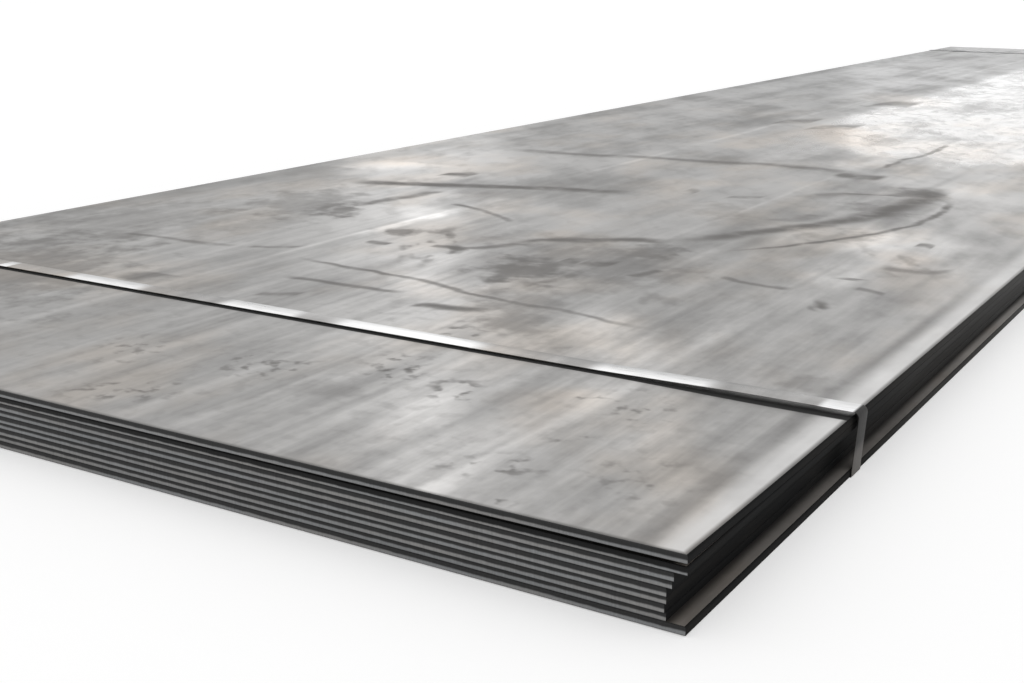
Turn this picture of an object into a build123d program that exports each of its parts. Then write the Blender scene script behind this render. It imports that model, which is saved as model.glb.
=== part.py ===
# Banded bundle of hot-rolled steel plate, lying flat on two steel bands.
# Millimetres. X runs across the plates, Y along them and Z up.
# The origin is at the bottom centre of the whole bundle.

import os
from math import hypot, sqrt

from build123d import *

# Plate stock
plate_width = 1800.0
plate_length = 8000.0
plate_thickness = 8.0
shear_rollover = 2.0  # radius that the shear leaves along the upper edges

# How the plates lie, from the top one down: sideways and endways slip, as shares of the most
most_side_slip = 20.0
side_slip_shares = (0.0, 0.0, -0.60, -0.70, -0.92, -0.95, -1.0, -0.92, 0.08)
most_end_slip = 1.5
end_slip_shares = (0.0, 0.6, -0.3, 0.4, -0.6, 0.5, -0.4, 0.2, -1.0)

# The free front corner of the top plate, which has sprung up in front of the band
corner_lift = 3.4
curl_across = 1700.0  # how far the curl reaches along the front end

# Steel band, wrapped once round the stack and lapped on top
band_width = 32.0
band_thickness = 1.0
band_inset = 469.0  # from a plate's end to the middle of the band
band_bend_radius = 1.0  # inside radius where the band is pulled round an edge
band_slack = 5.5  # how far the band stands off the upper right edge
band_rise_start = 330.0  # from that edge to where the band begins to rise
band_rise_end = 140.0  # from that edge to where it has risen
band_rise_radius = 600.0  # of the two slight bends there

# Seal, a folded sleeve that is notched onto the lapped ends of the band
seal_length = 60.0
seal_sheet = 1.0
seal_fit = 0.2  # clearance round the two layers of band
seal_inset = 170.0  # from the left edge of the top plate to the middle of the seal
seal_lip = 11.0  # width of each lip that is folded under the band
lap_gap = 0.1  # between the two layers
lap_tail = 14.0  # how far each end of the band stands out of the seal
notch_width = 7.0
notch_depth = 4.0
notch_spacing = 28.0

cut_overrun = 5.0
upward_share = 0.5  # a face whose normal has more than this share of Z looks up

# Heights and places worked out from the sizes above
plate_count = len(side_slip_shares)
half_width = plate_width / 2
half_length = plate_length / 2
stack_top = band_thickness + plate_count * plate_thickness
band_clearance = band_bend_radius  # beside the plates' edges, so that the bends clear them
band_lift = seal_sheet + seal_fit  # the seal's lips lie between the band and the plate
lap_height = stack_top + band_lift + band_thickness + lap_gap
seal_x = -half_width + seal_inset


def plate_base(index):
    """Height of the underside of a plate, counted from the top one."""
    return stack_top - (index + 1) * plate_thickness


def plate_slip(index):
    """Sideways and endways place of a plate's middle."""
    return most_side_slip * side_slip_shares[index], most_end_slip * end_slip_shares[index]


def round_upper_edges(plate):
    """Rolls over the edges round the upper face, as the shear does. The lower edges stay sharp."""
    upper = plate.faces().filter_by(Axis.Z).sort_by(Axis.Z)[-1]
    return fillet(upper.edges(), shear_rollover)


def flat_plate(index):
    """One plate of the stack, flat, with its sheared edges."""
    blank = Box(plate_width, plate_length, plate_thickness, align=(Align.CENTER, Align.CENTER, Align.MIN))
    slip_x, slip_y = plate_slip(index)
    return Pos(slip_x, slip_y, plate_base(index)) * round_upper_edges(blank)


def sprung_plate(index):
    """The top plate: flat, but its free right front corner curls up about a line across the corner."""
    reach = band_inset - band_width  # along the right edge, up to the band that holds it down
    corner_distance = curl_across * reach / hypot(curl_across, reach)
    curl_radius = (corner_distance**2 + corner_lift**2) / (2 * corner_lift)
    ahead = corner_distance + cut_overrun
    behind = plate_length + plate_width

    def curl_height(distance, radius):
        return curl_radius - sqrt(radius**2 - distance**2)

    upper_radius = curl_radius - plate_thickness
    section_plane = Plane(
        origin=(half_width - curl_across, -half_length, 0),
        x_dir=(reach, -curl_across, 0),
        z_dir=(-curl_across, -reach, 0),
    )
    with BuildPart() as curled:
        with BuildSketch(section_plane):
            with BuildLine():
                start = (-behind, 0)
                fold = (0, 0)
                lower_end = (ahead, curl_height(ahead, curl_radius))
                upper_end = (ahead, curl_height(ahead, upper_radius))
                Line(start, fold)
                RadiusArc(fold, lower_end, -curl_radius)
                Line(lower_end, upper_end)
                RadiusArc(upper_end, (0, plate_thickness), upper_radius)
                Line((0, plate_thickness), (-behind, plate_thickness))
                Line((-behind, plate_thickness), start)
            make_face()
        extrude(amount=behind, both=True)
    outline = Box(plate_width, plate_length, behind)
    plate = curled.part & outline
    upper = [face for face in plate.faces() if face.normal_at().Z > upward_share]
    rim = [
        edge
        for face in upper
        for edge in face.edges()
        if abs(abs(edge.center().X) - half_width) < plate_thickness
        or abs(abs(edge.center().Y) - half_length) < plate_thickness
    ]
    slip_x, slip_y = plate_slip(index)
    return Pos(slip_x, slip_y, plate_base(index)) * fillet(rim, shear_rollover)


def convex_hull(points):
    """Corners of the outline that a tight band takes round the points, counterclockwise."""

    def chain(ordered):
        kept = []
        for p in ordered:
            while len(kept) > 1 and turn(kept[-2], kept[-1], p) <= 0:
                kept.pop()
            kept.append(p)
        return kept[:-1]

    def turn(a, b, c):
        return (b[0] - a[0]) * (c[1] - a[1]) - (b[1] - a[1]) * (c[0] - a[0])

    ordered = sorted(set(points))
    return chain(ordered) + chain(ordered[::-1])


def band_route():
    """Corners of the band's inner face in the X-Z plane, from its lower end round the stack to its upper one."""
    corners = []
    for index in range(plate_count):
        slip_x = plate_slip(index)[0]
        for x in (slip_x - half_width - band_clearance, slip_x + half_width + band_clearance):
            corners += [(x, plate_base(index)), (x, plate_base(index) + plate_thickness)]
    hull = convex_hull(corners)
    upper_left = min(hull, key=lambda p: (-p[1], p[0]))
    first = hull.index(upper_left)
    hull = hull[first:] + hull[:first]
    upper_right = hull.pop()
    lap = seal_length / 2 + lap_tail
    slack_height = stack_top + band_slack
    return (
        [(seal_x + lap, stack_top + band_lift), (upper_left[0], stack_top + band_lift)]
        + hull[1:]
        + [(upper_right[0] + band_slack, slack_height), (half_width - band_rise_end, slack_height)]
        + [(half_width - band_rise_start, lap_height), (seal_x - lap, lap_height)]
    )


def bend_radii(route, outside):
    """The radius at each corner of the route, on a face so far outside the inner one. The last three are wide."""
    wide = [band_bend_radius + band_slack, band_rise_radius, band_rise_radius]
    tight = [band_bend_radius for corner in route[1 : -1 - len(wide)]]
    radii = []
    for before, corner, after, radius in zip(route, route[1:], route[2:], tight + wide):
        run_in = Vector(*corner) - Vector(*before)
        run_out = Vector(*after) - Vector(*corner)
        turns_round_stack = run_in.cross(run_out).Z > 0
        radii.append(radius + outside if turns_round_stack else radius - outside)
    return radii


def notch_cutters():
    """Four wedges that notch both edges of the seal and of the band inside it."""
    edge = band_width / 2 + seal_fit + seal_sheet
    wedges = []
    for along in (-notch_spacing / 2, notch_spacing / 2):
        for side in (-1, 1):
            outside = side * (edge + cut_overrun)
            slope = (edge + cut_overrun - band_width / 2 + notch_depth) / notch_depth
            half = notch_width / 2 * slope
            tip = side * (band_width / 2 - notch_depth)
            outline = Polyline(
                (along - half, outside), (along + half, outside), (along, tip), close=True
            )
            wedge = extrude(make_face(outline), stack_top)
            wedges.append(Pos(seal_x, 0, stack_top) * wedge)
    return wedges


def outer_route(route):
    """The same corners on the band's outer face, one thickness further from the stack."""
    runs = [(Vector(*end) - Vector(*start)).normalized() for start, end in zip(route, route[1:])]
    outward = [Vector(run.Y, -run.X) for run in runs]
    corners = []
    for corner, before, after in zip(route, outward[:1] + outward, outward + outward[-1:]):
        corners.append(Vector(*corner) + (before + after) * (band_thickness / (1 + before.dot(after))))
    return corners


def steel_band():
    """The band, centred on Y 0: its two faces in section, with rounded corners, drawn out to its width."""
    route = band_route()
    inner_radii = bend_radii(route, 0)
    outer_radii = bend_radii(route, band_thickness)
    with BuildPart() as band:
        with BuildSketch(Plane.XZ):
            with BuildLine():
                inner = FilletPolyline(*route, radius=inner_radii)
                outer = FilletPolyline(*outer_route(route), radius=outer_radii)
                Line(inner @ 0, outer @ 0)
                Line(inner @ 1, outer @ 1)
            make_face()
        extrude(amount=band_width / 2, both=True)
    notched = band.part
    for wedge in notch_cutters():
        notched -= wedge
    return notched


def band_seal():
    """The seal, centred on Y 0: a sleeve round both layers of band, with its lips folded underneath."""
    inside_width = band_width + 2 * seal_fit
    inside_height = 2 * band_thickness + lap_gap + 2 * seal_fit
    height = inside_height + 2 * seal_sheet
    width = inside_width + 2 * seal_sheet
    base = Pos(seal_x, 0, stack_top)
    on_base = (Align.CENTER, Align.CENTER, Align.MIN)
    sleeve = base * Box(seal_length, width, height, align=on_base)
    sleeve -= base * Pos(0, 0, seal_sheet) * Box(
        seal_length + 2 * cut_overrun, inside_width, inside_height, align=on_base
    )
    mouth = inside_width - 2 * seal_lip
    sleeve -= base * Box(seal_length + 2 * cut_overrun, mouth, seal_sheet, align=on_base)
    for wedge in notch_cutters():
        sleeve -= wedge
    return sleeve


def bundle():
    """Every piece of the bundle by its name."""
    pieces = {"top_plate": sprung_plate(0)}
    for index in range(1, plate_count - 1):
        pieces[f"plate_{index + 1}"] = flat_plate(index)
    pieces["bottom_plate"] = flat_plate(plate_count - 1)
    band = steel_band()
    seal = band_seal()
    band_y = half_length - band_inset
    for end, place in (("front", -band_y), ("rear", band_y)):
        pieces[f"{end}_band"] = Pos(0, place, 0) * band
        pieces[f"{end}_band_seal"] = Pos(0, place, 0) * seal
    return pieces


def main():
    os.makedirs("parts", exist_ok=True)
    pieces = bundle()
    box = Compound(children=[piece.moved(Location()) for piece in pieces.values()]).bounding_box()
    to_origin = Pos(-(box.min.X + box.max.X) / 2, -(box.min.Y + box.max.Y) / 2, -box.min.Z)
    for name, piece in pieces.items():
        export_step(to_origin * piece, f"parts/{name}.step")
    print("bundle", [round(v, 2) for v in (box.size.X, box.size.Y, box.size.Z)])


main()
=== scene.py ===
# %% [markdown]
# # A banded bundle of steel plate
# Hot-rolled plates lie flat on one another, and a steel band near each end holds them together. The
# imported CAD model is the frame: the pieces take their places from it, and nothing in it is moved. This
# script dresses it. It rebuilds the plates, the bands and the seals as finer meshes in the same places,
# gives each surface its finish, and sets up the floor, the light and the camera.

# %% Load the frame
import math
from collections import namedtuple

import bmesh
import bpy
from mathutils import Matrix, Vector


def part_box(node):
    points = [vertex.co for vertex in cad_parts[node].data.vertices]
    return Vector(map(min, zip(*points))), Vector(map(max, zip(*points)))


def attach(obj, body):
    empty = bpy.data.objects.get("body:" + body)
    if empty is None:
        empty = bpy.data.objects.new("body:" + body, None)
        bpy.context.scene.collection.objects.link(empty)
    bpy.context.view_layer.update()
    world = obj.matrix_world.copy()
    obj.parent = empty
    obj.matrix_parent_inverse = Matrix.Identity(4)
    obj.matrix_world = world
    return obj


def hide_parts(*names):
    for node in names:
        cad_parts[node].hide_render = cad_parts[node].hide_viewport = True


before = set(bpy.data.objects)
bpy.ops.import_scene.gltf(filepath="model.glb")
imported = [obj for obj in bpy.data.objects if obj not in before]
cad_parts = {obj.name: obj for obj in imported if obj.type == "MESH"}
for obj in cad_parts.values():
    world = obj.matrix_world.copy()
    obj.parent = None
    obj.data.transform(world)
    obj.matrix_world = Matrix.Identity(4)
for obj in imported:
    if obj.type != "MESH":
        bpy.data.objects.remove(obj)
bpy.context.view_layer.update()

# %% [markdown]
# ## Where the plates lie
# A plate is a flat slab of steel, so a stack of them is given by where each one lies. These places could
# be typed in as numbers. Here they are read from the boxes of the CAD nodes, so that a change of the CAD
# model carries through. The top plate's box is taller than the others because its free corner has sprung
# up. A plate's own thickness therefore comes from the one below it.

# %% Measure the stack
MM = 0.001
ROLLOVER = 2 * MM

plate_boxes = {name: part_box(name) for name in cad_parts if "plate" in name}
stack = sorted(plate_boxes, key=lambda name: plate_boxes[name][0].z)
top_low, top_high = plate_boxes["top_plate"]
under_low, under_high = plate_boxes["plate_2"]
thickness = under_high.z - under_low.z
face_height = top_low.z + thickness
corner_lift = top_high.z - face_height
print("plates from the bottom:", stack, "thickness", round(thickness, 4), "lift", round(corner_lift, 4))

# %% [markdown]
# ## The camera
# The photograph was taken close to the front end, from the right, half a metre above the top plate. A
# camera can be set by eye, but then the edges never quite meet those of the picture. Here the straight
# edges of the stack fix it: where they meet gives the lens, the turn and the tilt, and the plates' size
# gives the distance. It is written from the top plate's front right corner.

# %% Place the camera
IMAGE_WIDTH = 1024
IMAGE_HEIGHT = 683
SENSOR = 36.0
LENS = 47.98
VIEW_REACH = 1000.0
camera_from_corner = Vector((433 * MM, -1006 * MM, 495 * MM))
camera_turn = math.radians(31.305)
camera_tilt = math.radians(15.506)
camera_roll = math.radians(0.365)

camera_place = Vector((top_high.x, top_low.y, face_height)) + camera_from_corner
level_right = Vector((math.cos(camera_turn), math.sin(camera_turn), 0))
level_ahead = Vector((-math.sin(camera_turn), math.cos(camera_turn), 0))
ahead = level_ahead * math.cos(camera_tilt) - Vector((0, 0, math.sin(camera_tilt)))
level_up = level_right.cross(ahead)
right = level_right * math.cos(camera_roll) + level_up * math.sin(camera_roll)
up = level_up * math.cos(camera_roll) - level_right * math.sin(camera_roll)

camera = bpy.data.objects.new("camera", bpy.data.cameras.new("camera"))
camera.data.sensor_width = SENSOR
camera.data.lens = LENS
camera.data.clip_end = VIEW_REACH
camera_axes = Matrix((right, up, -ahead)).transposed().to_4x4()
camera.matrix_world = Matrix.Translation(camera_place) @ camera_axes
bpy.context.scene.collection.objects.link(camera)
bpy.context.scene.camera = camera
print("camera at", [round(c, 3) for c in camera_place])

# %% [markdown]
# ## From a pixel to the plate
# Rubs, scratches and stains were traced on the photograph. Laid over the camera's view they would slide
# on the steel as soon as the camera moves. So each traced pixel is cast onto the plate: a ray through it
# meets the flat top face in one point, which is where that mark lies, whatever side it is seen from
# later.

# %% Cast pixels onto the top face
def pixel_ray(pixel):
    """Direction from the camera through a pixel of the photograph."""
    across = (pixel[0] - IMAGE_WIDTH / 2) / IMAGE_WIDTH * SENSOR / LENS
    down = (pixel[1] - IMAGE_HEIGHT / 2) / IMAGE_WIDTH * SENSOR / LENS
    return (ahead + right * across - up * down).normalized()


def on_plate(pixel):
    """The point of the top plate's flat face that a pixel of the photograph shows."""
    ray = pixel_ray(pixel)
    return camera_place + ray * ((face_height - camera_place.z) / ray.z)


print("picture centre lies at", [round(c, 3) for c in on_plate((IMAGE_WIDTH / 2, IMAGE_HEIGHT / 2))])

# %% [markdown]
# ## Writing node trees as sums
# A finish could be written as a long list of nodes and links, but it is easier to read as arithmetic.
# `Value` wraps one socket, and adding or multiplying values adds the Math nodes. `Sheet` wraps a node
# tree, and its `add` makes any other node: first the node's settings, then the values or links of its
# sockets. `Finish` is the sheet of one material.

# %% Wrap a socket
class Value:
    """A number or vector of a node tree. Arithmetic on it adds Math nodes to its sheet."""

    def __init__(self, sheet, socket):
        self.sheet = sheet
        self.socket = socket

    def __add__(self, other):
        return self.sheet.math("ADD", self, other)

    __radd__ = __add__

    def __sub__(self, other):
        return self.sheet.math("SUBTRACT", self, other)

    def __rsub__(self, other):
        return self.sheet.math("SUBTRACT", other, self)

    def __mul__(self, other):
        return self.sheet.math("MULTIPLY", self, other)

    __rmul__ = __mul__

    def __abs__(self):
        return self.sheet.math("ABSOLUTE", self)


print("socket wrapper ready")

# %% Wrap a node tree
class Sheet:
    """A node tree under construction."""

    def __init__(self, tree):
        self.tree = tree

    def feed(self, socket, value):
        """Links a value to a socket, or sets the socket to a plain number or colour."""
        if isinstance(value, Value):
            self.tree.links.new(value.socket, socket)
        else:
            socket.default_value = value

    def add(self, kind, settings=None, sockets=None):
        """Makes any node: its settings first, then its sockets by name or number."""
        node = self.tree.nodes.new(kind)
        for name, setting in (settings or {}).items():
            if name == "points":
                shape_curve(node, setting)
            else:
                setattr(node, name, setting)
        for key, value in (sockets or {}).items():
            self.feed(node.inputs[key], value)
        return node

    def out(self, kind, settings=None, sockets=None, output=0):
        """Makes a node and gives one of its outputs as a value."""
        return Value(self, self.add(kind, settings, sockets).outputs[output])

    def math(self, operation, *values):
        """One Math node on values and plain numbers."""
        return self.out("ShaderNodeMath", {"operation": operation}, dict(enumerate(values)))

    def fade(self, value, start, end):
        """Eases from 0 at start to 1 at end. The start may be the larger of the two."""
        sockets = {"Value": value, "From Min": start, "From Max": end}
        return self.out("ShaderNodeMapRange", {"interpolation_type": "SMOOTHSTEP"}, sockets)

    def mix(self, first, second, share, blend="MIX"):
        """Mixes two colours, which are inputs 6 and 7 of the node. The mixture is output 2."""
        settings = {"data_type": "RGBA", "blend_type": blend}
        return self.out("ShaderNodeMix", settings, {0: share, 6: first, 7: second}, 2)

    def multiply(self, first, second):
        """Multiplies a colour by another colour or by a value."""
        return self.mix(first, second, 1.0, "MULTIPLY")


def shape_curve(node, points):
    """Gives a Float Curve node the points of its line, from left to right."""
    curve = node.mapping.curves[0]
    for _ in points[2:]:
        curve.points.new(0.5, 0.5)
    for handle, place in zip(curve.points, points):
        handle.location = place
    node.mapping.update()


print("node tree wrapper ready")

# %% Wrap a material
NOISE_MIDDLE = 0.5


class Finish(Sheet):
    """A material: a sheet that starts from the object's own coordinates and ends in one shader."""

    def __init__(self, name, constants):
        self.material = bpy.data.materials.new(name)
        self.material.use_nodes = True
        super().__init__(self.material.node_tree)
        self.shader = self.tree.nodes["Principled BSDF"]
        self.place = self.out("ShaderNodeTexCoord", output="Object")
        apart = self.add("ShaderNodeSeparateXYZ", None, {0: self.place})
        self.x, self.y, self.z = (Value(self, socket) for socket in apart.outputs)
        self.paint(constants)

    def noise(self, place, detail, harsh=0.5):
        """Noise about 0 with one lump to each unit of a place's coordinates."""
        sockets = {"Vector": place, "Scale": 1.0, "Detail": detail, "Roughness": harsh}
        return self.out("ShaderNodeTexNoise", None, sockets) - NOISE_MIDDLE

    def cloud(self, across, along, up=1.0, detail=4.0, harsh=0.5, seed=0.0):
        """Noise about 0 with so many lumps to the metre across, along and up the plates."""
        sockets = {"Vector": self.place, "Location": (seed, seed, seed), "Scale": (across, along, up)}
        return self.noise(self.out("ShaderNodeMapping", None, sockets), detail, harsh)

    def about(self, middle, turn, size):
        """The place as seen from a middle, turned about the upright axis and measured in steps of a size."""
        sockets = {"Vector": self.place, "Location": middle, "Rotation": (0.0, 0.0, turn), "Scale": size}
        return self.out("ShaderNodeMapping", {"vector_type": "TEXTURE"}, sockets)

    def smear(self, across, along, turn, detail=4.0, seed=0.0):
        """Noise about 0 in patches of so many metres, turned by an angle from the plates' own directions."""
        return self.noise(self.about((seed, seed, seed), turn, (across, along, 1.0)), detail)

    def attribute(self, name):
        """A number that is stored on the mesh."""
        return self.out("ShaderNodeAttribute", {"attribute_name": name}, None, "Fac")

    def paint(self, sockets):
        """Feeds the shader's sockets, by name, and gives the material."""
        for name, value in sockets.items():
            self.feed(self.shader.inputs[name], value)
        return self.material

    def relief(self, height, depth):
        """A bump of so many metres from a value about 0."""
        sockets = {"Height": height, "Distance": depth}
        return self.out("ShaderNodeBump", None, sockets)


def grey(level, warmth=0.0):
    """A linear colour of about one level, a little redder and less blue where warmth is above 0."""
    return (level * (1 + warmth), level, level * (1 - warmth), 1.0)


print("material wrapper ready")

# %% [markdown]
# ## Floor, sky and lamps
# The setting is plain: a pale floor under a white sky. To the camera and in gloss the floor looks white,
# and so does the sky, apart from a greyer belt above the horizon, which keeps flat-lying steel from
# glaring where it is seen at a low angle. To everything else the sky is even and a little darker, so that
# colours come out as they are written, and the floor still takes the bundle's shadow. Two soft lamps
# stand beyond the far end. They could be moved about until the glare fits. Instead each stands on the
# mirrored ray of the pixel where its image lies: the glare at the upper right of the photograph, and the
# paler column left of its middle.

# %% Lay the floor
FLOOR_SIDE = 1200.0
FLOOR_LEVEL = 0.78
FLOOR_SPECKLE = 0.01
FLOOR_LIFT = 0.34


def seen_directly(sheet):
    """1 for rays from the camera and for rays in gloss and glass, otherwise 0."""
    kinds = sheet.add("ShaderNodeLightPath").outputs
    rays = [Value(sheet, kinds[f"Is {kind} Ray"]) for kind in ("Camera", "Glossy", "Transmission")]
    return sheet.math("MINIMUM", rays[0] + rays[1] + rays[2], 1.0)


def lay_floor():
    """A pale floor that the camera and gloss see a little lighter than it is lit."""
    bpy.ops.mesh.primitive_plane_add(size=FLOOR_SIDE)
    floor = bpy.context.object
    floor.name = "floor"
    constants = {"Roughness": 0.9, "Specular IOR Level": 0.0, "Emission Strength": FLOOR_LIFT}
    pale = Finish("pale floor", constants)
    level = FLOOR_LEVEL + FLOOR_SPECKLE * pale.cloud(30.0, 30.0, detail=2.0)
    floor.data.materials.append(pale.paint({"Base Color": level, "Emission Color": seen_directly(pale)}))


lay_floor()
print("floor side", FLOOR_SIDE)

# %% Make the sky
SKY_LEVEL = 0.85
HORIZON_LEVEL = 0.52
WHITE_SKY_RISE = 0.36


def make_sky():
    """An even white world that shows a greyer belt above the horizon."""
    world = bpy.data.worlds.new("white sky")
    world.use_nodes = True
    bpy.context.scene.world = world
    sky = Sheet(world.node_tree)
    light = world.node_tree.nodes["Background"].inputs
    sky.feed(light["Color"], grey(1.0))
    direction = sky.out("ShaderNodeTexCoord", output="Generated")
    climb = sky.out("ShaderNodeSeparateXYZ", None, {0: direction}, "Z")
    sockets = {"Value": climb, "From Max": WHITE_SKY_RISE, "To Min": HORIZON_LEVEL}
    belt = sky.out("ShaderNodeMapRange", None, sockets)
    sky.feed(light["Strength"], seen_directly(sky) * (belt - SKY_LEVEL) + SKY_LEVEL)


make_sky()
bpy.context.scene.view_settings.view_transform = "Standard"
print("sky level", SKY_LEVEL)

# %% Stand the lamps where their images make the glare
Lamp = namedtuple("Lamp", "name pixel wide high power")

LAMP_DISTANCE = 20.0
LAMPS = [
    Lamp("low softbox", (985, 118), 4.6, 1.6, 36.0),
    Lamp("tall softbox", (420, 330), 2.2, 7.0, 38.0),
]


def stand_lamp(lamp):
    """Puts a lamp on the mirrored ray of the pixel where its image is to lie."""
    data = bpy.data.lights.new(lamp.name, "AREA")
    data.shape = "RECTANGLE"
    data.size = lamp.wide
    data.size_y = lamp.high
    data.energy = lamp.power
    stand = bpy.data.objects.new(lamp.name, data)
    bpy.context.scene.collection.objects.link(stand)
    mirrored = pixel_ray(lamp.pixel).reflect(Vector((0, 0, 1)))
    stand.location = on_plate(lamp.pixel) + mirrored * LAMP_DISTANCE
    stand.rotation_euler = (-mirrored).to_track_quat("-Z", "Y").to_euler()
    return stand


for lamp in LAMPS:
    print(lamp.name, "at", [round(c, 2) for c in stand_lamp(lamp).location])

# %% [markdown]
# ## The rolled face
# Hot rolling leaves a grey scale that is never even. It is drawn out in streaks along the plate, clouded
# in patches, brownish where it has begun to rust and finely mottled all over. A picture of steel would
# repeat over such a length, and noise doesn't. So each of these is one noise, and the tone is their sum.
# Behind the front band, where boards and chains were dragged over the face, it is also smeared, in soft
# patches about twice as long as they are wide. Towards the far end it is quieter again.

# %% Lay down the scale
SMEAR_TURN = camera_turn
SMEARED_FROM = -3500 * MM
SMEARED_TO = -2200 * MM
QUIET_FROM = -1500 * MM
QUIET_TO = 1500 * MM
PLAIN_TINT = grey(1.0)
SCALE_TINT = grey(1.0, 0.02)
RUST_TINT = grey(1.0, 0.09)


def rolled_scale(steel, level, strength=1.0):
    """Colour of hot-rolled scale of a level and strength, and a value about 0 for how uneven its gloss is."""
    smeared = steel.fade(steel.y, SMEARED_FROM, SMEARED_TO)
    quiet = steel.fade(steel.y, QUIET_FROM, QUIET_TO)
    drawn = steel.cloud(9.0, 0.5, detail=3.0, seed=3.0)
    strokes = steel.cloud(34.0, 2.2, detail=3.0, seed=15.0)
    lines = steel.cloud(110.0, 3.0, detail=2.0, seed=8.0)
    specks = steel.cloud(75.0, 50.0, detail=2.0, seed=13.0)
    drawn_out = 0.9 * drawn + (1 - 0.8 * smeared) * (0.9 * strokes + 0.25 * lines + 0.25 * specks)
    clouds = steel.cloud(3.4, 2.2, detail=3.0, seed=5.0)
    mottle = steel.cloud(20.0, 6.0, detail=5.0, harsh=0.6, seed=1.0)
    smears = steel.smear(0.22, 0.42, SMEAR_TURN, detail=6.0, seed=19.0)
    patches = 0.5 * clouds + 0.55 * mottle + 1.6 * smeared * (1 - 0.45 * quiet) * smears
    rust = steel.fade(steel.cloud(5.0, 3.0, detail=3.0, seed=11.0), -0.06, 0.2) * (1 - quiet)
    tint = steel.mix(steel.mix(SCALE_TINT, RUST_TINT, rust), PLAIN_TINT, quiet)
    tone = level * (1 + strength * (drawn_out + patches))
    unevenness = 0.6 * drawn + 0.75 * patches
    return steel.multiply(tint, tone), unevenness


print("rolled scale ready")

# %% [markdown]
# ## Streaks along the plate
# The mill also leaves streaks that keep to one place across the plate for its whole length. A noise would
# put them anywhere. So each is given by its strength, below 0 for a dark streak, its place across the
# plate and its width, and a noise only lets it swell and fade on its way.

# %% Draw the lengthwise streaks
Streak = namedtuple("Streak", "strength across width")

STREAKS = [
    Streak(0.50, 625 * MM, 130 * MM),
    Streak(0.20, 470 * MM, 50 * MM),
    Streak(0.16, 408 * MM, 36 * MM),
    Streak(0.20, 284 * MM, 24 * MM),
    Streak(0.34, -234 * MM, 34 * MM),
    Streak(-0.42, 860 * MM, 48 * MM),
    Streak(-0.12, 700 * MM, 44 * MM),
    Streak(-0.30, 540 * MM, 40 * MM),
    Streak(-0.28, 352 * MM, 60 * MM),
    Streak(-0.14, -420 * MM, 70 * MM),
    Streak(-0.42, -850 * MM, 160 * MM),
]
STREAK_WANDER = 50 * MM


def lengthwise_streaks(steel):
    """Sum of the streaks, about 0."""
    across = steel.x + STREAK_WANDER * steel.cloud(4.0, 1.2, detail=3.0, seed=51.0)
    swell = steel.fade(steel.cloud(9.0, 1.8, detail=4.0, seed=53.0), -0.25, 0.15)
    total = 0.0
    for streak in STREAKS:
        total = total + streak.strength * steel.fade(abs(across - streak.across), streak.width / 2, 0.0)
    return total * swell


print(len(STREAKS), "lengthwise streaks")

# %% [markdown]
# ## Rubs and scratches
# Chains, hooks and wet boards leave marks on a plate. They could be painted by hand, but a row of numbers
# is easier to read and to change. So each mark was traced on the photograph as a short row of pixels,
# with its strength and its thickness in pixels. Cast onto the plate such a row is a line, and one Float
# Curve node can hold it, as the place along for each place across or the other way about. The mark is the
# distance from that line, faded at its sides and ends.

# %% List the traced marks
Mark = namedtuple("Mark", "strength thick pixels")

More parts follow.
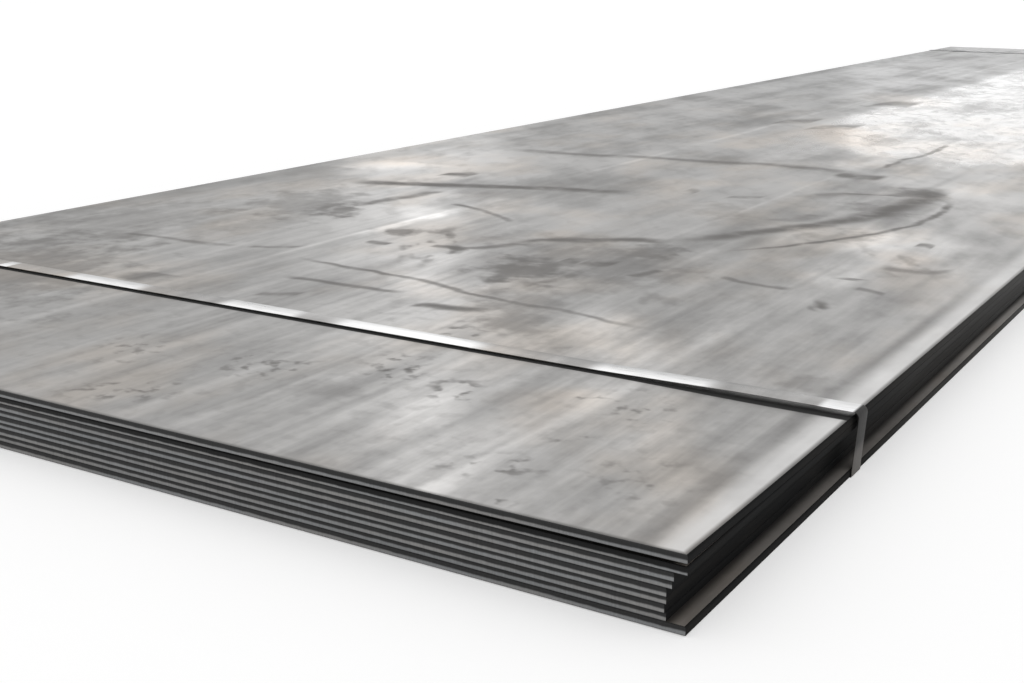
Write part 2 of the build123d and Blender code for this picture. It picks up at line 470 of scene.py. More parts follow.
DARK_MARKS = [
    Mark(0.90, 6, [(346, 181), (410, 184), (472, 186), (560, 189), (640, 194)]),
    Mark(0.60, 5, [(500, 148), (571, 154), (640, 157), (714, 162), (787, 166), (836, 171), (872, 176)]),
    Mark(0.80, 8, [(836, 173), (862, 177), (888, 178)]),
    Mark(0.60, 5, [(450, 203), (477, 209), (514, 223)]),
    Mark(0.60, 5, [(296, 254), (333, 265), (371, 271), (431, 283), (491, 298), (560, 310),
                   (628, 325), (664, 331)]),
    Mark(0.65, 5, [(280, 276), (321, 281), (360, 287), (408, 293)]),
    Mark(0.85, 7, [(408, 305), (426, 305), (452, 308), (494, 311)]),
    Mark(0.60, 6, [(462, 249), (490, 247), (522, 243)]),
    Mark(0.85, 7, [(512, 241), (560, 240), (600, 240), (640, 240), (674, 243)]),
    Mark(0.88, 14, [(660, 244), (720, 237), (750, 233), (811, 226), (860, 218), (905, 206), (944, 188)]),
    Mark(0.75, 5, [(716, 252), (787, 246), (848, 238), (897, 229), (934, 217), (952, 200)]),
    Mark(0.55, 8, [(800, 199), (827, 195), (860, 194), (897, 196), (938, 187)]),
    Mark(0.45, 7, [(752, 219), (792, 220), (816, 214)]),
    Mark(0.55, 4, [(118, 233), (161, 237), (195, 242), (242, 246)]),
    Mark(0.55, 4, [(248, 246), (275, 247), (304, 247)]),
    Mark(0.55, 10, [(124, 280), (158, 274), (190, 277)]),
    Mark(0.65, 6, [(253, 294), (275, 294), (304, 294)]),
    Mark(0.60, 5, [(878, 170), (904, 160), (929, 154), (943, 144)]),
    Mark(0.60, 7, [(774, 122), (798, 121), (820, 121)]),
    Mark(0.60, 7, [(806, 128), (834, 127), (862, 127)]),
    Mark(0.50, 7, [(864, 106), (890, 104), (918, 105)]),
    Mark(0.55, 7, [(880, 266), (909, 271), (957, 270)]),
    Mark(0.60, 5, [(718, 276), (749, 283), (779, 288), (796, 289)]),
    Mark(0.65, 6, [(553, 263), (566, 260), (582, 262)]),
    Mark(0.65, 6, [(532, 283), (556, 280), (578, 274)]),
    Mark(0.65, 6, [(912, 247), (922, 245), (934, 248)]),
    Mark(0.60, 6, [(844, 280), (852, 279), (862, 279)]),
    Mark(0.55, 6, [(854, 288), (870, 291), (886, 295)]),
    Mark(0.75, 5, [(432, 176), (445, 174), (460, 174), (473, 176)]),
    Mark(0.60, 6, [(356, 206), (385, 200), (412, 196), (443, 190)]),
    Mark(0.50, 5, [(676, 193), (686, 190), (697, 193)]),
    Mark(0.45, 4, [(722, 198), (742, 197), (764, 198)]),
    Mark(0.95, 8, [(584, 261), (604, 264), (626, 261)]),
    Mark(0.75, 7, [(630, 277), (645, 274), (662, 270)]),
    Mark(0.60, 5, [(366, 241), (378, 243), (392, 244)]),
    Mark(0.55, 6, [(432, 245), (448, 247), (463, 251)]),
]
# Light marks: partly bright scratches, partly painted sheen.
LIGHT_MARKS_AND_SHEEN = [
    Mark(0.55, 8, [(350, 238), (393, 226), (426, 218), (459, 210), (514, 195)]),
    Mark(0.40, 14, [(340, 168), (380, 166), (430, 163)]),
]
print(len(DARK_MARKS), "dark marks,", len(LIGHT_MARKS_AND_SHEEN), "light marks")

# %% Turn a traced mark into a mask
END_SHARE = 0.15
CORE_SHARE = 0.1
MARK_WANDER = 30 * MM


def shaken(steel, seed):
    """A small distance, about 0, that keeps a traced line from looking drawn."""
    return MARK_WANDER * steel.cloud(14.0, 14.0, detail=4.0, seed=seed)


def mark_mask(steel, mark, wander):
    """1 on the mark's line, 0 beside it and past its ends. Wander shakes the line a little."""
    line = [on_plate(pixel) for pixel in mark.pixels]
    span = line[-1] - line[0]
    run, side = (1, 0) if abs(span.y) > abs(span.x) else (0, 1)
    line.sort(key=lambda point: point[run])
    begin, length = line[0][run], line[-1][run] - line[0][run]
    lowest = min(point[side] for point in line)
    extent = max(point[side] for point in line) - lowest
    middle = mark.pixels[len(mark.pixels) // 2]
    step = on_plate((middle[0], middle[1] + mark.thick / 2)) - on_plate(middle)
    half_width = abs(step[side] - step[run] * span[side] / span[run])
    here = (steel.x, steel.y)
    sockets = {"Value": here[run], "From Min": begin, "From Max": begin + length}
    along = steel.out("ShaderNodeMapRange", None, sockets)
    shares = [((point[run] - begin) / length, (point[side] - lowest) / extent) for point in line]
    route = steel.out("ShaderNodeFloatCurve", {"points": shares}, {"Value": along})
    away = abs(here[side] + wander - (route * extent + lowest))
    ends = steel.fade(along, 0.0, END_SHARE) * steel.fade(along, 1.0, 1 - END_SHARE)
    return steel.fade(away, half_width, half_width * CORE_SHARE) * ends


print("mark masks ready")

# %% [markdown]
# ## Stains, flecks and patches
# Where boards and blocks have stood, the scale is stained, and here and there it has come off in clusters
#  of small flecks. Other patches are paler, and some of these pale patches are painted sheen, where light
#  lies on the steel; others have begun to rust. None of them has a clear outline to trace, so a soft oval is
#  enough, with a noise where its rim is ragged. Each is given by its strength, by the pixel in its middle and
#  by its half width and half height in pixels, and lies on the plate as the camera sees it.

# %% List the stains, flecks and patches
Oval = namedtuple("Oval", "strength pixel wide high")

STAINS = [
    Oval(0.64, (522, 271), 60, 18),
    Oval(0.50, (403, 233), 20, 6),
    Oval(0.30, (812, 383), 36, 12),
    Oval(0.40, (654, 252), 46, 9),
    Oval(0.30, (600, 262), 110, 34),
    Oval(0.50, (340, 210), 30, 9),
    Oval(0.40, (926, 196), 24, 9),
    Oval(0.42, (878, 210), 34, 9),
    Oval(0.06, (800, 214), 110, 26),
    Oval(0.42, (10, 272), 140, 70),
    Oval(0.25, (120, 222), 160, 30),
    Oval(0.20, (722, 210), 40, 10),
    Oval(0.35, (520, 308), 60, 40),
    Oval(0.30, (838, 236), 56, 8),
    Oval(0.20, (330, 392), 60, 12),
    Oval(0.36, (305, 202), 80, 20),
    Oval(0.20, (520, 236), 36, 12),
    Oval(0.15, (720, 480), 50, 50),
]
FLECKS = [
    Oval(0.7, (130, 390), 90, 15),
    Oval(0.4, (130, 350), 50, 20),
    Oval(0.6, (260, 366), 80, 20),
    Oval(0.7, (398, 368), 44, 20),
    Oval(0.6, (455, 390), 36, 18),
    Oval(0.6, (495, 467), 80, 16),
    Oval(0.7, (588, 398), 20, 7),
    Oval(0.8, (640, 408), 44, 26),
    Oval(0.7, (502, 505), 20, 8),
    Oval(0.6, (573, 440), 36, 9),
    Oval(0.8, (806, 306), 40, 9),
    Oval(0.25, (890, 262), 70, 24),
    Oval(0.6, (440, 245), 60, 26),
    Oval(0.7, (461, 332), 30, 9),
    Oval(0.2, (650, 300), 60, 24),
    Oval(0.4, (640, 480), 70, 40),
]
# Pale patches: partly paler scale, partly painted sheen, such as the column where the tall softbox is
# mirrored.
PALES_AND_SHEEN = [
    Oval(0.60, (914, 250), 96, 42),
    Oval(0.22, (770, 345), 90, 34),
    Oval(0.42, (425, 258), 44, 18),
    Oval(0.25, (985, 200), 70, 26),
    Oval(0.42, (625, 390), 90, 110),
    Oval(0.80, (618, 338), 64, 44),
    Oval(0.10, (480, 155), 50, 10),
    Oval(0.42, (830, 272), 60, 26),
    Oval(0.55, (840, 160), 80, 12),
    Oval(0.45, (425, 285), 50, 20),
    Oval(0.50, (425, 212), 40, 10),
    Oval(0.15, (640, 470), 220, 110),
    Oval(0.32, (420, 420), 60, 70),
    Oval(0.22, (730, 372), 70, 26),
]
RUSTS = [
    Oval(0.9, (848, 138), 60, 18),
    Oval(0.5, (905, 100), 50, 10),
    Oval(0.5, (950, 150), 60, 16),
    Oval(0.4, (560, 285), 90, 14),
    Oval(0.4, (420, 160), 70, 10),
    Oval(0.4, (560, 235), 40, 8),
    Oval(0.4, (905, 258), 50, 12),
    Oval(0.4, (560, 400), 90, 20),
]
print(len(STAINS), "stains,", len(FLECKS), "clusters of flecks,", len(PALES_AND_SHEEN + RUSTS), "pale or rusty patches")

# %% Turn an oval into a mask
OVAL_CORE_SHARE = 0.25


def oval_mask(steel, oval, ragged=0.0):
    """A soft oval that the camera sees upright: 1 in its middle and 0 at its rim, which may be ragged."""
    place = on_plate(oval.pixel)
    to_right = on_plate((oval.pixel[0] + oval.wide, oval.pixel[1])) - place
    to_front = on_plate((oval.pixel[0], oval.pixel[1] + oval.high)) - place
    turn = math.atan2(to_right.y, to_right.x)
    offset = steel.about(place, turn, (to_right.length, to_front.length, 1.0))
    distance = steel.out("ShaderNodeVectorMath", {"operation": "LENGTH"}, {0: offset}, "Value")
    return steel.fade(distance + ragged, 1.0, OVAL_CORE_SHARE)


def sum_of_ovals(steel, ovals):
    """All the ovals of a list together, each by its strength."""
    total = 0.0
    for oval in ovals:
        total = total + oval.strength * oval_mask(steel, oval)
    return total


print("oval masks ready")

# %% [markdown]
# ## Bare scale and dirt
# Scale is metal to the eye and mirrors the sky, but dirt on it is dull and shows its own dark colour. A
# darker colour alone would leave the dirt shining. So the rubs, the stains, the flecks and a thin film in
# the scale's darker patches are gathered in one value, how clean the face is. Later it sets the colour,
# the metal and the gloss together.

# %% Gather the dirt
FILM = 0.30
FLECKED_ALL_OVER = 0.10
CHIPS_GROW = 300 * MM

front_low, front_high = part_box("front_band")


def cleanness(steel, unevenness):
    """1 where the scale is bare and less where dirt lies on it. Chips are larger behind the front band."""
    torn = steel.smear(0.06, 0.07, SMEAR_TURN, detail=5.0, seed=17.0)
    small_chips = steel.smear(0.026, 0.026, SMEAR_TURN, detail=2.5, seed=27.0)
    large_chips = steel.smear(0.045, 0.09, SMEAR_TURN, detail=2.0, seed=29.0)
    wander = shaken(steel, 21.0)
    patchy = steel.fade(torn, -0.42, 0.10)
    ragged = -2.2 * torn - 0.8 * small_chips
    clean = 1 - FILM * steel.fade(unevenness, 0.10, -0.30)
    for mark in DARK_MARKS:
        clean = clean * (1 - mark.strength * patchy * mark_mask(steel, mark, wander))
    for stain in STAINS:
        clean = clean * (1 - stain.strength * oval_mask(steel, stain, ragged))
    behind = steel.fade(steel.y, front_high.y, front_high.y + CHIPS_GROW)
    chipped = steel.fade(small_chips + behind * (large_chips - small_chips), 0.0, 0.19)
    return clean * (1 - chipped * (FLECKED_ALL_OVER + sum_of_ovals(steel, FLECKS)))


print("dirt gathered from", len(DARK_MARKS) + len(STAINS) + len(FLECKS), "places")

# %% [markdown]
# ## Rims and the polished stretch
# Along the right long edge the scale is worn to bright metal, about two fingers wide, and this pale strip is
#  also a painted highlight where the rounded edge catches the light. Along that edge and the sheared ends the
#  face is painted dark where it rolls over, as shade. Traced, these rims would stop where the photograph
#  does. As distances from the plate's own edges they run on, and a noise makes them ragged.
# Towards the far end, on the right, the scale is paler and smoother, and there the low lamp glares. Its
#  paler colour is partly a painted highlight that adds to the glare, and past it the face is painted darker
#  as shade. In front of the band it grows calmer towards the left. A black line of painted shade lies
#  along the band, and widens where the band rises towards the right edge.

# %% Place the polished stretch and the painted band shade
POLISH_SIDE = -100 * MM
POLISH_SIDE_SOFT = 50 * MM
POLISH_SIDE_WANDER = 120 * MM
POLISH_FRONT = -1380 * MM
POLISH_FRONT_SOFT = 200 * MM
POLISH_FRONT_WANDER = 900 * MM
POLISH_FADES = 1500 * MM
POLISH_END = 2900 * MM
# Widths of the black line of painted shade in front of the band.
BAND_SHADE_WIDTH = 9 * MM
BAND_SHADE_GROWTH = 8.5 * MM
BAND_SHADE_FULL = 80 * MM
BAND_SHADE_CORE_SHARE = 0.8
BAND_RISE_START = 330 * MM


def polished_stretch(steel):
    """1 on the paler, smoother stretch of the face, whose paleness is partly a painted highlight."""
    across = steel.x + POLISH_SIDE_WANDER * steel.cloud(6.0, 1.0, detail=3.0, seed=37.0) - POLISH_SIDE
    along = steel.y + POLISH_FRONT_WANDER * steel.cloud(5.0, 1.4, detail=3.0, seed=39.0) - POLISH_FRONT
    inside = steel.fade(across, -POLISH_SIDE_SOFT, POLISH_SIDE_SOFT)
    begun = steel.fade(along, -POLISH_FRONT_SOFT, POLISH_FRONT_SOFT)
    return inside * begun * steel.fade(steel.y, POLISH_END, POLISH_FADES)


def painted_band_shade(steel):
    """1 on the black line of painted shade in front of the band."""
    growth = steel.fade(steel.x, top_high.x - BAND_RISE_START, top_high.x - BAND_SHADE_FULL)
    width = BAND_SHADE_WIDTH + BAND_SHADE_GROWTH * growth
    from_band = front_low.y - steel.y
    return steel.fade(from_band, width, BAND_SHADE_CORE_SHARE * width) * steel.fade(from_band, -BAND_SHADE_WIDTH, 0.0)


# The width printed is that of the painted shade in front of the band.
print("polished from", POLISH_FRONT, "metres along, grime from", BAND_SHADE_WIDTH, "metres wide")

# %% Tone the face and mark its rims
BORDER_WIDTH = 46 * MM
BORDER_CORE_SHARE = 0.35
BORDER_WANDER = 20 * MM
EDGE_WIDTH = 9 * MM
RIM_WIDTH = 9 * MM
RIM_CORE_SHARE = 0.2
WORN_LESS = 900 * MM


def face_tone(steel, polish_and_sheen):
    """How pale the face is, about 1: its streaks, polished stretch, pale patches and light marks, partly
    painted highlight and sheen, and painted shade towards the far end.
    """
    # Paler on the polished stretch, partly a painted highlight; darker towards the far end, painted shade.
    far_shade = steel.fade(steel.y, POLISH_FADES, POLISH_END)
    tone = 1 + lengthwise_streaks(steel) + 0.5 * polish_and_sheen - 0.35 * far_shade + sum_of_ovals(steel, PALES_AND_SHEEN)
    wander = shaken(steel, 23.0)
    for mark in LIGHT_MARKS_AND_SHEEN:
        tone = tone * (1 + mark.strength * mark_mask(steel, mark, wander))
    return tone


def face_rims(steel):
    """Two masks: the worn border along the right edge, partly a painted highlight, and the rims of painted
    shade along that edge and the ends.
    """
    ragged = BORDER_WANDER * steel.cloud(20.0, 4.0, detail=4.0, seed=31.0)
    from_right = top_high.x - steel.x
    edge = steel.fade(from_right, EDGE_WIDTH, ROLLOVER)
    border = steel.fade(from_right + ragged, BORDER_WIDTH, BORDER_WIDTH * BORDER_CORE_SHARE) * (1 - edge)
    worn = 0.80 + 1.3 * steel.cloud(18.0, 6.0, detail=5.0, seed=35.0)
    worn = worn - 0.3 * steel.fade(steel.y, front_high.y, front_high.y + WORN_LESS)
    from_end = steel.math("MINIMUM", steel.y - top_low.y, top_high.y - steel.y)
    end = steel.fade(from_end + 0.3 * ragged, RIM_WIDTH, RIM_WIDTH * RIM_CORE_SHARE)
    return border * worn, steel.math("MAXIMUM", end, edge)


print("worn border", BORDER_WIDTH, "metres wide")

# %% Finish the top face
FACE_LEVEL = 0.345
FACE_ROUGHNESS = 0.31
CALM_FROM = 200 * MM
RUSTY = grey(1.0, 0.13)
DIRT = grey(0.11, 0.06)
# Pale worn steel, also a painted highlight on the rounded right edge.
WORN_STEEL_HIGHLIGHT = grey(0.70, 0.01)
# Dark where the face rolls over: painted shade.
ROLLED_OVER_SHADE = grey(0.07, 0.06)
# Near black: painted shade in front of the band.
BAND_SHADE_PAINT = grey(0.006, 0.02)


def top_face_finish():
    """The face that the photograph shows, with every traced mark."""
    steel = Finish("rolled top face", {})
    polish_and_sheen = polished_stretch(steel)
    in_front = steel.fade(steel.y, front_high.y, front_low.y)
    calm_left = steel.fade(steel.x, CALM_FROM, top_low.x) * in_front
    colour, unevenness = rolled_scale(steel, FACE_LEVEL, 1 - 0.5 * polish_and_sheen - 0.55 * calm_left)
    clean = cleanness(steel, unevenness)
    band_shade = painted_band_shade(steel)
    worn_border_highlight, shaded_rims = face_rims(steel)
    colour = steel.multiply(colour, face_tone(steel, polish_and_sheen))
    colour = steel.mix(colour, RUSTY, sum_of_ovals(steel, RUSTS), "MULTIPLY")
    colour = steel.mix(colour, DIRT, 1 - clean)
    # The worn border, partly a painted highlight.
    colour = steel.mix(colour, WORN_STEEL_HIGHLIGHT, worn_border_highlight)
    # The rims, painted dark as the shade where the face rolls over.
    colour = steel.mix(colour, ROLLED_OVER_SHADE, 0.8 * shaded_rims)
    # The band's shade, painted on the plate as a black line.
    colour = steel.mix(colour, BAND_SHADE_PAINT, band_shade)
    grain = steel.cloud(700.0, 260.0, detail=3.0, seed=41.0)
    waves = steel.cloud(6.0, 2.0, detail=2.0, seed=43.0)
    surface = steel.relief(0.04 * grain + 2.0 * waves, depth=1 * MM)
    rough = FACE_ROUGHNESS + 0.2 * unevenness - 0.10 * polish_and_sheen + 0.45 * (1 - clean) + 0.6 * band_shade
    metal = clean * (1 - band_shade)
    return steel.paint({"Base Color": colour, "Metallic": metal, "Roughness": rough, "Normal": surface})


top_face = top_face_finish()
print("top face:", len(top_face.node_tree.nodes), "nodes")

# %% [markdown]
# ## Ends, edges and hidden faces
# The ends were sheared. The blade leaves a dark rolled-over upper part and a lighter torn lower part, so
#  a stack shows a light and a dark line for each plate. Height above the floor could draw these lines, but
#  the sprung corner lifts with its own end. So the height within a plate is stored on its mesh as `rise`,
#  from 0 to 1, and how far up the steel is torn as `tear`. The less a plate is torn, the blacker its upper
#  part is painted, as the shade of the plate above; the plate under the top plate is torn least, for the
#  deepest painted shadow. The long edges carry dark scale, painted darker still as the shade of the side,
#  and grow paler behind the front band. Of the faces between the plates only the ledges show, painted
#  darker towards the stack as the shade under the plates above.

# %% Finish the sheared ends
LEAST_TEAR = 0.32
EVEN_TEAR = 0.42
TEAR_SOFT = 0.13
BURR_SHARE = 0.10


def sheared_end_finish():
    """A plate's end: dark above, where the blade cut it and, blacker where it is torn less, painted shade;
    lighter below, where it tore.
    """
    steel = Finish("sheared end", {"Metallic": 0.5, "Specular IOR Level": 0.25})
    rise = steel.attribute("rise")
    tear = steel.attribute("tear")
    ragged = rise - tear + 0.25 * steel.cloud(60.0, 1.0, 90.0, seed=2.0)
    torn = steel.fade(ragged, TEAR_SOFT, -TEAR_SOFT) * steel.fade(rise, 0.0, BURR_SHARE)
    warm = steel.fade(steel.cloud(5.0, 1.0, 60.0), -0.1, 0.1)
    light = steel.mix(grey(0.25, -0.02), grey(0.255, 0.015), warm)
    # The blacker dark, on plates torn less, is painted shade from the plate above.
    dark = steel.mix(grey(0.010), grey(0.032), steel.fade(tear, LEAST_TEAR, EVEN_TEAR))
    lines = 1 + 0.5 * steel.cloud(420.0, 1.0, 14.0, seed=6.0) + 0.5 * steel.cloud(3.0, 1.0, 50.0, seed=9.0)
    colour = steel.multiply(steel.mix(dark, light, torn), lines)
    scored = steel.cloud(900.0, 1.0, 40.0, seed=12.0)
    surface = steel.relief(scored, depth=0.3 * MM)
    return steel.paint({"Base Color": colour, "Roughness": 0.55 + 0.2 * scored, "Normal": surface})


sheared_end = sheared_end_finish()
print("sheared end:", len(sheared_end.node_tree.nodes), "nodes")

# %% Finish the long edges and the hidden faces
BEHIND_BAND_FROM = front_low.y
BEHIND_BAND_MIDDLE = front_low.y + 400 * MM
BEHIND_BAND_FULL = front_low.y + 1200 * MM
HIDDEN_LEVEL = 0.22
LEDGE_WIDTH = 18 * MM
LEDGE_LIGHT_WIDTH = 5.4 * MM


def trimmed_edge_finish():
    """A plate's long edge: dark scale, painted darker still as shade, and paler the further it is behind the
    front band.
    """
    steel = Finish("trimmed edge", {"Specular IOR Level": 0.05})
    patches = steel.cloud(8.0, 6.0, 60.0, detail=5.0, seed=4.0)
    # Near black: dark scale, and painted shade of the shaded long sides.
    colour = steel.mix(grey(0.009, -0.02), grey(0.018, 0.06), steel.fade(patches, -0.05, 0.25))
    # Paler the further it is behind the front band.
    colour = steel.mix(colour, grey(0.045, 0.04), 0.7 * steel.fade(steel.y, BEHIND_BAND_FROM, BEHIND_BAND_MIDDLE))
    colour = steel.mix(colour, grey(0.09, 0.02), 0.8 * steel.fade(steel.y, BEHIND_BAND_MIDDLE, BEHIND_BAND_FULL))
    surface = steel.relief(patches, depth=0.5 * MM)
    return steel.paint({"Base Color": colour, "Roughness": 0.75 + 0.3 * patches, "Normal": surface})


def shaded_hidden_face_finish():
    """A face inside the stack: painted dark as shade, and painted lighter on the outer part of the ledges,
    where light reaches.
    """
    steel = Finish("scaled face", {"Metallic": 0.4})
    colour, unevenness = rolled_scale(steel, HIDDEN_LEVEL)
    outward = steel.fade(abs(steel.x), top_high.x - LEDGE_WIDTH, top_high.x - LEDGE_LIGHT_WIDTH)
    ledge = steel.mix(grey(0.95, 0.05), grey(2.0, 0.02), steel.fade(steel.y, BEHIND_BAND_FROM, BEHIND_BAND_FULL))
    # Painted shade: dark towards the stack, lighter on the outer part of the ledges.
    colour = steel.multiply(colour, steel.mix(grey(0.15, 0.06), ledge, outward))
    return steel.paint({"Base Color": colour, "Roughness": 0.55 + 0.25 * unevenness})


trimmed_edge = trimmed_edge_finish()
shaded_hidden_face = shaded_hidden_face_finish()
print("long edges and hidden faces ready")

# %% [markdown]
# ## The plates
# A plate is a slab whose upper edges are rolled over by the shear and whose lower edges are sharp. A box
# with a bevel would do, but has too few points to bend. So a plate starts as a grid for the upper face.
# The rim is then drawn down ring by ring round the rolled-over edge, and a second grid closes the
# underside. The sprung corner bends about a line across the corner, as sheet does, so every point past
# that line rises with the square of its distance from it.

# %% Shape a flat plate
ROLLOVER_STEPS = 4
LOWER_RING_SHARES = (0.5, 0.25, 0.0)
MERGE_DISTANCE = 0.01 * MM


def rim_rings():
    """Inset and height of each ring, from the upper face down to the lower edge."""
    rings = []
    for step in range(1, ROLLOVER_STEPS + 1):
        angle = step / ROLLOVER_STEPS * math.pi / 2
        rings.append((ROLLOVER * (1 - math.sin(angle)), thickness - ROLLOVER * (1 - math.cos(angle))))
    return rings + [(0.0, thickness * share) for share in LOWER_RING_SHARES]


def unit_grid(shape, cells):
    """Adds a grid of one metre by one about the origin and gives its points."""
    return bmesh.ops.create_grid(shape, x_segments=cells[0], y_segments=cells[1], size=0.5)["verts"]


def spread(points, wider, longer, height):
    """Stretches points across and along the plate and puts them at one height."""
    for point in points:
        point.co = Vector((point.co.x * wider, point.co.y * longer, height))


def plate_shape(width, length, cells):
    """A flat plate about the origin, with a rolled-over rim."""
    shape = bmesh.new()
    inset = ROLLOVER
    spread(unit_grid(shape, cells), width - 2 * inset, length - 2 * inset, thickness)
    rim = [edge for edge in shape.edges if edge.is_boundary]
    for next_inset, height in rim_rings():
        grown = bmesh.ops.extrude_edge_only(shape, edges=rim)["geom"]
        rim = [part for part in grown if isinstance(part, bmesh.types.BMEdge)]
        ring = [part for part in grown if isinstance(part, bmesh.types.BMVert)]
        wider = (width - 2 * next_inset) / (width - 2 * inset)
        longer = (length - 2 * next_inset) / (length - 2 * inset)
        spread(ring, wider, longer, height)
        inset = next_inset
    spread(unit_grid(shape, cells), width, length, 0.0)
    bmesh.ops.remove_doubles(shape, verts=shape.verts, dist=MERGE_DISTANCE)
    bmesh.ops.recalc_face_normals(shape, faces=shape.faces)
    return shape


print("rings round a plate:", len(rim_rings()))

# %% Curl the sprung corner
CURL_ACROSS = 1700 * MM
CURL_ALONG = 437 * MM


def curl(x, y):
    """How far the sprung front corner has lifted at a place on the top plate."""
    span = math.hypot(CURL_ACROSS, CURL_ALONG)
    from_corner = (top_high.x - x) * CURL_ALONG + (y - top_low.y) * CURL_ACROSS
    past_fold = (CURL_ACROSS * CURL_ALONG - from_corner) / span
    return corner_lift * (max(past_fold, 0.0) * span / (CURL_ACROSS * CURL_ALONG)) ** 2


print("lift at the corner:", round(curl(top_high.x, top_low.y), 4))

# %% Build the plates
TOP_CELLS = (36, 160)
PLAIN_CELLS = (2, 4)
USUAL_TEAR = 0.48
# plate_2 is torn least, so its upper part carries the deepest painted shadow, under the top plate.
OTHER_TEARS = {"top_plate": 0.42, "plate_2": LEAST_TEAR, "plate_5": 0.44}
LEVEL_FROM = 0.99
UPPER_FACE, END_FACE, LONG_EDGE, UNDERSIDE = range(4)


def plate_mesh(name, low, high, cells):
    """A plate between two corners, with its rise and tear as attributes."""
    shape = plate_shape(high.x - low.x, high.y - low.y, cells)
    mesh = bpy.data.meshes.new(name + "_slab")
    shape.to_mesh(mesh)
    shape.free()
    rise = mesh.attributes.new("rise", "FLOAT", "POINT")
    rise.data.foreach_set("value", [vertex.co.z / thickness for vertex in mesh.vertices])
    tear = mesh.attributes.new("tear", "FLOAT", "POINT")
    tear.data.foreach_set("value", [OTHER_TEARS.get(name, USUAL_TEAR)] * len(mesh.vertices))
    middle = Vector(((low.x + high.x) / 2, (low.y + high.y) / 2, low.z))
    mesh.transform(Matrix.Translation(middle))
    return mesh


def dress_plate(mesh, upper_face):
    """Gives the upper face, the ends, the long edges and the underside their finishes."""
    for material in (upper_face, sheared_end, trimmed_edge, shaded_hidden_face):
        mesh.materials.append(material)
    for face in mesh.polygons:
        normal = face.normal
        if normal.z > LEVEL_FROM:
            face.material_index = UPPER_FACE
        elif normal.z < -LEVEL_FROM:
            face.material_index = UNDERSIDE
        else:
            face.material_index = END_FACE if abs(normal.y) > abs(normal.x) else LONG_EDGE


def build_plate(name):
    """One plate of the stack in its CAD node's place."""
    low, high = plate_boxes[name]
    on_top = name == "top_plate"
    mesh = plate_mesh(name, low, high, TOP_CELLS if on_top else PLAIN_CELLS)
    dress_plate(mesh, top_face if on_top else shaded_hidden_face)
    if on_top:
        for vertex in mesh.vertices:
            vertex.co.z += curl(vertex.co.x, vertex.co.y)
    plate = bpy.data.objects.new(name + "_slab", mesh)
    bpy.context.scene.collection.objects.link(plate)
    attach(plate, "root")
    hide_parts(name)
    return plate


plates = {name: build_plate(name) for name in stack}
print("plates:", {name: len(plate.data.polygons) for name, plate in plates.items()})

# %% [markdown]
# ## The steel bands
# A steel band is pulled once round the stack, so in section it takes the outline of a string drawn tight
# round the plates' corners. Its corners could be listed, but worked out from the plates' boxes they
# follow any change of the stack. The band rises towards the upper right edge, where it has sprung, and
# its two ends lap on top. Each corner of its route has a bend of its own.

# %% Trace the band's route
BAND_CLEARANCE = 1 * MM
BAND_THICKNESS = 1 * MM
BAND_BEND = 1 * MM
BAND_SLACK = 5.5 * MM
BAND_RISE_END = 140 * MM
BAND_RISE_BEND = 600 * MM
LAP_TAIL = 14 * MM
LOWER_LAP = 1.2 * MM
UPPER_LAP = 2.3 * MM


def tight_outline(points):
    """Corners of a string drawn tight round the points, counterclockwise."""

    def chain(ordered):
        kept = []
        for point in ordered:
            while len(kept) > 1 and (kept[-1] - kept[-2]).cross(point - kept[-2]) <= 0:
                kept.pop()
            kept.append(point)
        return kept[:-1]

    ordered = sorted(points, key=tuple)
    return chain(ordered) + chain(ordered[::-1])


def band_route(seal_middle, seal_half):
    """Corners of the band's inner face, across and up, from its lower to its upper end, and their bends."""
    corners = []
    for low, high in plate_boxes.values():
        for x in (low.x - BAND_CLEARANCE, high.x + BAND_CLEARANCE):
            corners += [Vector((x, low.z)), Vector((x, low.z + thickness))]
    hull = tight_outline(corners)
    first = hull.index(min(hull, key=lambda corner: (-corner.y, corner.x)))
    hull = hull[first:] + hull[:first]
    lap = seal_half + LAP_TAIL
    lower = face_height + LOWER_LAP
    upper = face_height + UPPER_LAP
    start = [Vector((seal_middle + lap, lower)), Vector((hull[0].x, lower))]
    sprung = hull[-1] + Vector((BAND_SLACK, BAND_SLACK))
    risen = Vector((top_high.x - BAND_RISE_END, sprung.y))
    level = Vector((top_high.x - BAND_RISE_START, upper))
    finish = Vector((seal_middle - lap, upper))
    bends = [BAND_BEND] * (len(start) + len(hull) - 2)
    bends += [BAND_BEND + BAND_SLACK, BAND_RISE_BEND, BAND_RISE_BEND, 0.0]
    return start + hull[1:-1] + [sprung, risen, level, finish], bends


seal_low, seal_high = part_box("front_band_seal")
route, bends = band_route((seal_low.x + seal_high.x) / 2, (seal_high.x - seal_low.x) / 2)
print("band route:", [(round(corner.x, 4), round(corner.y, 4)) for corner in route])

# %% [markdown]
# ## Sweeping the band with Geometry Nodes
# The band is one thin strip that follows its route. It could be modelled point by point, but what follows
# a path suits Geometry Nodes: the route becomes a curve, its corners are rounded by their own bend, and a
# thin rounded section is swept along it. Width and thickness stay inputs. The sides that face away from
# the stack take one material and the side that lies on it another.

# %% Round, shape and sort the band's faces
SECTION_STEPS = 3
SECTION_ROUNDING = 0.35


def rounded(band, curve, steps, radius):
    """A curve with its corners rounded."""
    sockets = {"Curve": curve, "Count": steps, "Radius": radius, "Limit Radius": True}
    return band.out("GeometryNodeFilletCurve", {"mode": "POLY"}, sockets)


def band_section(band, width, thick):
    """A thin rounded rectangle that lies outside the route."""
    section = band.out("GeometryNodeCurvePrimitiveQuadrilateral", None, {"Width": width, "Height": thick})
    section = rounded(band, section, SECTION_STEPS, thick * SECTION_ROUNDING)
    outward = band.out("ShaderNodeCombineXYZ", None, {"Y": -0.5 * thick})
    return band.out("GeometryNodeTransform", None, {"Geometry": section, "Translation": outward})


